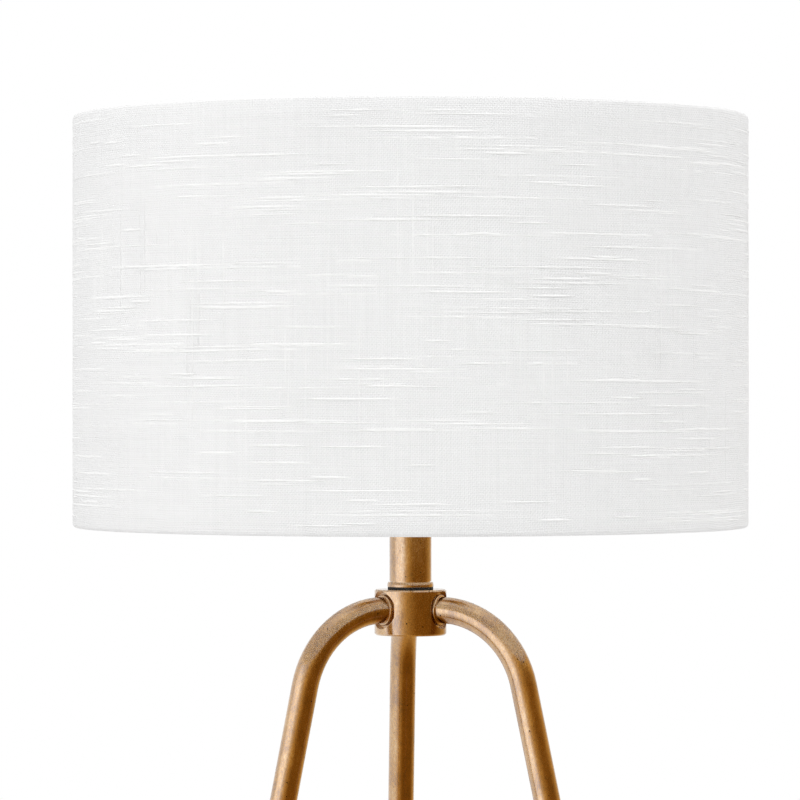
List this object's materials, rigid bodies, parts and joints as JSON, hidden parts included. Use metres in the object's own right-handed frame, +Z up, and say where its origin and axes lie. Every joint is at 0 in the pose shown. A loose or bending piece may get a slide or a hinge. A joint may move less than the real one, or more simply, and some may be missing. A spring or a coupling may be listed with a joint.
{
  "type": "tripod table lamp",
  "caption": "Table lamp with a linen drum shade on a short neck above a round hub and bent tube legs; turn-key socket, bulb, harp and finial inside the shade.",
  "frame": {"origin": "on the table, under the lamp's upright axis", "axes": "+Z up along the neck, front is -Y, the rear leg stands towards +Y, the harp lies in the XZ plane"},
  "size_m": [0.3556, 0.3556, 0.635],
  "materials": {
    "antique_brass": "antiqued, mottled brown patina, satin",
    "black_rubber": "matte",
    "plated_brass": "polished, lightly toned",
    "zinc_steel": "zinc plated",
    "white_wire": "white powder coat",
    "white_linen": "plain-woven slubbed linen",
    "white_styrene": "matte",
    "frosted_glass": "inside frosted",
    "black_glass": "gloss",
    "phenolic": "moulded, satin",
    "fibre_paper": "matte"
  },
  "bodies": {
    "stand": {"hub": "antique_brass", "hub_plug": "antique_brass", "left_leg": "antique_brass", "right_leg": "antique_brass", "rear_leg": "antique_brass", "neck_ring": "antique_brass", "neck_tube": "antique_brass", "neck_cap": "antique_brass", "neck_washer": "black_rubber", "cord_grommet": "black_rubber", "left_foot_cap": "black_rubber", "right_foot_cap": "black_rubber", "rear_foot_cap": "black_rubber", "harp_saddle": "plated_brass", "harp_wire": "plated_brass", "harp_bracket": "plated_brass", "finial_stud": "plated_brass", "socket_cap": "plated_brass", "socket_shell": "plated_brass", "screw_shell": "plated_brass", "centre_contact": "plated_brass", "terminal_screws": "plated_brass", "threaded_rod": "zinc_steel", "saddle_nut": "zinc_steel", "socket_set_screw": "zinc_steel", "socket_core": "phenolic", "socket_insulator": "fibre_paper"},
    "shade": {"shade_fabric": "white_linen", "shade_liner": "white_styrene", "top_ring": "white_wire", "bottom_ring": "white_wire", "spider_washer": "white_wire", "spider_arm_rear": "white_wire", "spider_arm_left": "white_wire", "spider_arm_right": "white_wire"},
    "finial": {"finial": "antique_brass"},
    "bulb": {"bulb_glass": "frosted_glass", "bulb_base": "zinc_steel", "bulb_insulator": "black_glass", "bulb_contact": "zinc_steel"},
    "switch": {"switch_shaft": "zinc_steel", "switch_knob": "phenolic"},
    "harp_sleeve_left": {"harp_sleeve_left": "plated_brass"},
    "harp_sleeve_right": {"harp_sleeve_right": "plated_brass"}
  },
  "joints": [
    {"name": "shade_turn", "type": "hinge", "parent": "stand", "child": "shade", "pos_m": [0, 0, 0.61], "axis": [0, 0, 1], "continuous": true},
    {"name": "finial_turn", "type": "hinge", "parent": "stand", "child": "finial", "pos_m": [0, 0, 0.62], "axis": [0, 0, 1], "continuous": true},
    {"name": "bulb_turn", "type": "hinge", "parent": "stand", "child": "bulb", "pos_m": [0, 0, 0.49], "axis": [0, 0, 1], "continuous": true},
    {"name": "switch_turn", "type": "hinge", "parent": "stand", "child": "switch", "pos_m": [0, -0.02, 0.4616], "axis": [0, -1, 0], "continuous": true},
    {"name": "harp_sleeve_left_lift", "type": "slide", "parent": "stand", "child": "harp_sleeve_left", "axis": [0, 0, 1], "range_m": [0, 0.012]},
    {"name": "harp_sleeve_right_lift", "type": "slide", "parent": "stand", "child": "harp_sleeve_right", "axis": [0, 0, 1], "range_m": [0, 0.012]}
  ]
}
